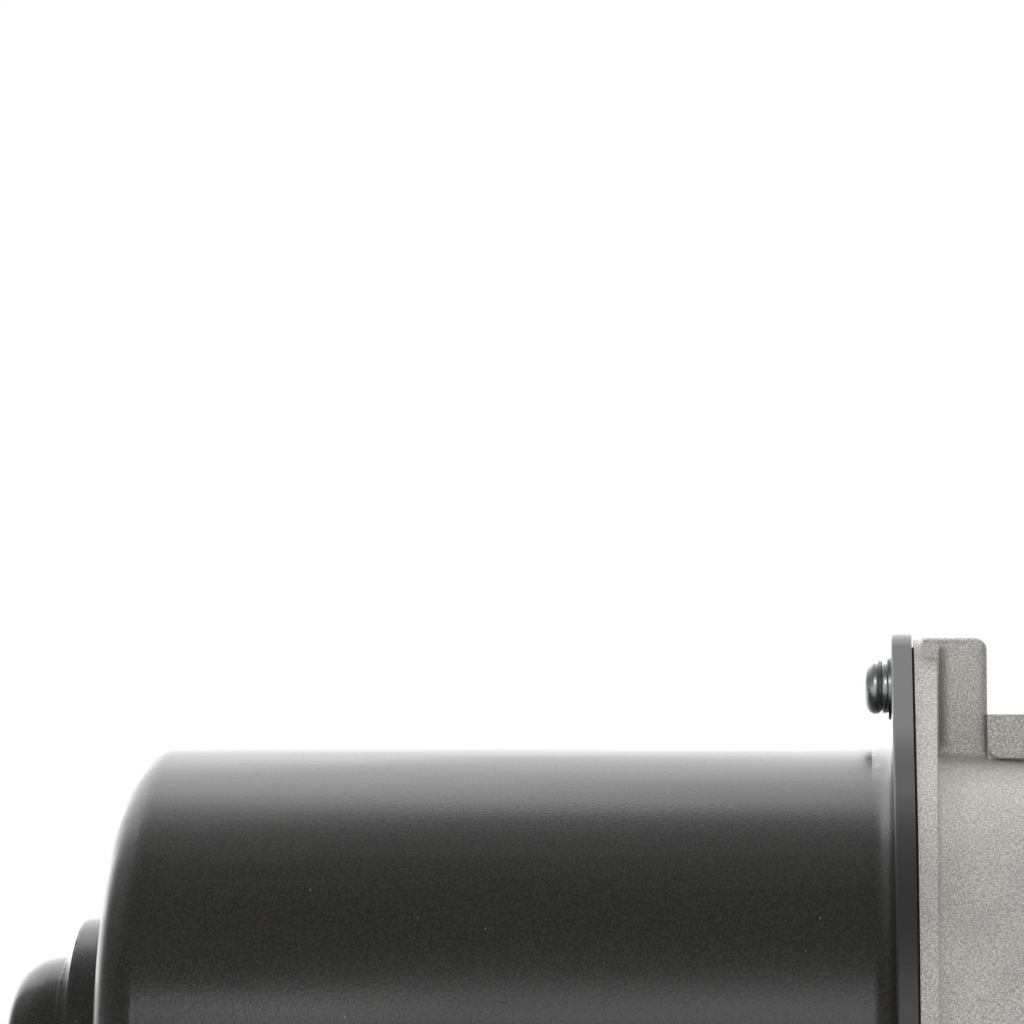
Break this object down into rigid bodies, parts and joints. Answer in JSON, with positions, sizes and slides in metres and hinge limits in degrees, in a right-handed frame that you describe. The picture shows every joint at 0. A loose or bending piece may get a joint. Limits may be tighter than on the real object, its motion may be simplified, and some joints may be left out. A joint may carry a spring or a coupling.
{
  "type": "wiper motor",
  "caption": "Two-speed wiper motor: drawn can flanged to a die-cast worm gear housing, with a crank and ball stud.",
  "frame": {"origin": "on the output shaft's axis, in the plane where the three mounting sleeves meet the vehicle", "axes": "+Y along the output shaft towards the crank; +X along the motor from the closed end of its can towards the gear case; +Z from the motor axis towards the output shaft"},
  "size_m": [0.228, 0.1166, 0.1275],
  "materials": {
    "can_paint": "black satin e-coat on deep-drawn steel",
    "cast_aluminium": "shot-blasted die casting",
    "zinc_steel": "bright zinc plate",
    "bright_steel": "plain spring steel",
    "spring_steel": "blackened spring steel",
    "shaft_steel": "ground steel",
    "core_steel": "stacked laminations",
    "ferrite": "sintered ferrite, matt",
    "bronze": "oil-filled sintered bronze",
    "copper": "turned copper",
    "winding_wire": "enamelled copper wire",
    "tinned_brass": "tinned brass",
    "carbon": "copper-graphite brush",
    "fibre": "pressed fibre sheet",
    "felt": "oiled wool felt",
    "phenolic": "phenolic laminate",
    "gear_plastic": "natural acetal",
    "cover_plastic": "black moulded plastic",
    "rubber": "black rubber"
  },
  "bodies": {
    "housing": {"motor_can": "can_paint", "joint_gasket": "fibre", "magnets": "ferrite", "magnet_clips": "bright_steel", "rear_bush": "bronze", "felt_ring": "felt", "bush_retainer": "bright_steel", "gear_housing": "cast_aluminium", "mid_bush": "bronze", "end_bush": "bronze", "thrust_pad": "gear_plastic", "thrust_screw": "zinc_steel", "thrust_locknut": "zinc_steel", "yoke_plain_washers": "zinc_steel", "yoke_spring_washers": "zinc_steel", "yoke_screws": "zinc_steel", "brush_plate": "phenolic", "brush_box_common": "tinned_brass", "brush_box_low": "tinned_brass", "brush_box_high": "tinned_brass", "brush_spring_common": "spring_steel", "brush_spring_low": "spring_steel", "brush_spring_high": "spring_steel", "choke_coils": "winding_wire", "choke_cores": "ferrite", "thermal_breaker": "cover_plastic", "output_bushes": "bronze", "grommets": "rubber", "grommet_sleeves": "zinc_steel", "cover_seal": "rubber", "gear_cover": "cover_plastic", "connector_pins": "tinned_brass", "cover_screws": "zinc_steel", "park_contacts": "tinned_brass"},
    "armature": {"armature_shaft": "shaft_steel", "armature_core": "core_steel", "end_insulators": "fibre", "windings": "winding_wire", "commutator_bars": "copper", "commutator_moulding": "phenolic", "slinger": "gear_plastic"},
    "output": {"worm_wheel": "gear_plastic", "park_disc": "copper", "output_shaft": "shaft_steel", "thrust_ring": "shaft_steel", "seal_ring": "rubber", "circlip": "spring_steel", "crank_arm": "zinc_steel", "crank_washer": "zinc_steel", "crank_nut": "zinc_steel", "ball_stud": "shaft_steel"},
    "brush_common": {"brush_common": "carbon"},
    "brush_low": {"brush_low": "carbon"},
    "brush_high": {"brush_high": "carbon"}
  },
  "joints": [
    {"name": "armature_spin", "type": "hinge", "parent": "housing", "child": "armature", "pos_m": [0, -0.024, -0.03475], "axis": [1, 0, 0], "continuous": true},
    {"name": "output_spin", "type": "hinge", "parent": "housing", "child": "output", "pos_m": [0, 0, 0], "axis": [0, 1, 0], "continuous": true},
    {"name": "brush_common_slide", "type": "slide", "parent": "housing", "child": "brush_common", "axis": [0, -1, 0], "range_m": [0, 0.003], "stiffness_N_per_m": 200, "springref_m": -0.006, "deforming": ["brush_spring_common"]},
    {"name": "brush_low_slide", "type": "slide", "parent": "housing", "child": "brush_low", "axis": [0, 1, 0], "range_m": [0, 0.003], "stiffness_N_per_m": 200, "springref_m": -0.006, "deforming": ["brush_spring_low"]},
    {"name": "brush_high_slide", "type": "slide", "parent": "housing", "child": "brush_high", "axis": [0, 0.5, -0.866], "range_m": [0, 0.003], "stiffness_N_per_m": 200, "springref_m": -0.006, "deforming": ["brush_spring_high"]}
  ],
  "couplings": [
    {"joint": "output_spin", "follows": "armature_spin", "ratio": 0.020833}
  ]
}
